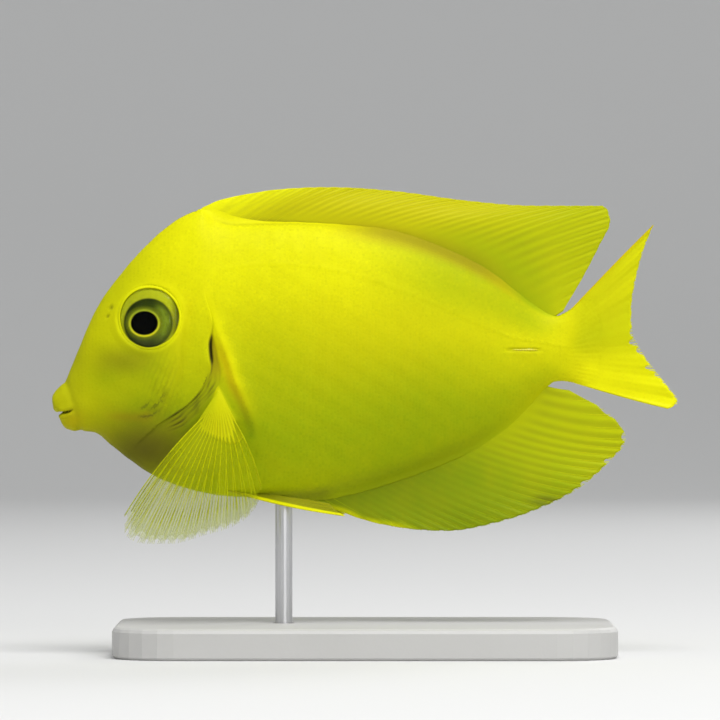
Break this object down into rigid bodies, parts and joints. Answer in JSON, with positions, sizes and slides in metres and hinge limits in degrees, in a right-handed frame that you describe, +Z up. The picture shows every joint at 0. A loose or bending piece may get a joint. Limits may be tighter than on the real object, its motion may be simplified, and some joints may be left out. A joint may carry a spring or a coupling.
{
  "type": "chocolate surgeonfish, yellow juvenile",
  "caption": "Young chocolate surgeonfish in its all-yellow dress, hovering with breast fins spread, on a flat display stand with a rod.",
  "frame": {"origin": "centre of the stand's underside, on the floor and below the middle of the whole model", "axes": "+X from the fish's head to its tail along the model's length, +Z up, +Y to the fish's right, so the fish's left side faces -Y"},
  "size_m": [0.08, 0.038, 0.06],
  "materials": {
    "yellow_skin": "satin, like wet skin with fine scales",
    "fin_web": "thin satin web over fin rays",
    "eye_black": "polished",
    "spine_horn": "smooth horn",
    "rod_steel": "brushed",
    "base_paint": "matte paint"
  },
  "bodies": {
    "root": {"head": "yellow_skin", "trunk": "yellow_skin", "tail_stem": "yellow_skin", "gill_cover_left": "yellow_skin", "gill_cover_right": "yellow_skin", "upper_lip": "yellow_skin", "lower_lip": "yellow_skin", "dorsal_fin": "fin_web", "anal_fin": "fin_web", "tail_fin": "fin_web", "pectoral_fin_left": "fin_web", "pectoral_fin_right": "fin_web", "pelvic_fin_left": "fin_web", "pelvic_fin_right": "fin_web", "eye_left": "eye_black", "eye_right": "eye_black", "tail_spine_left": "spine_horn", "tail_spine_right": "spine_horn", "stand_rod": "rod_steel", "stand_base": "base_paint"}
  },
  "joints": []
}
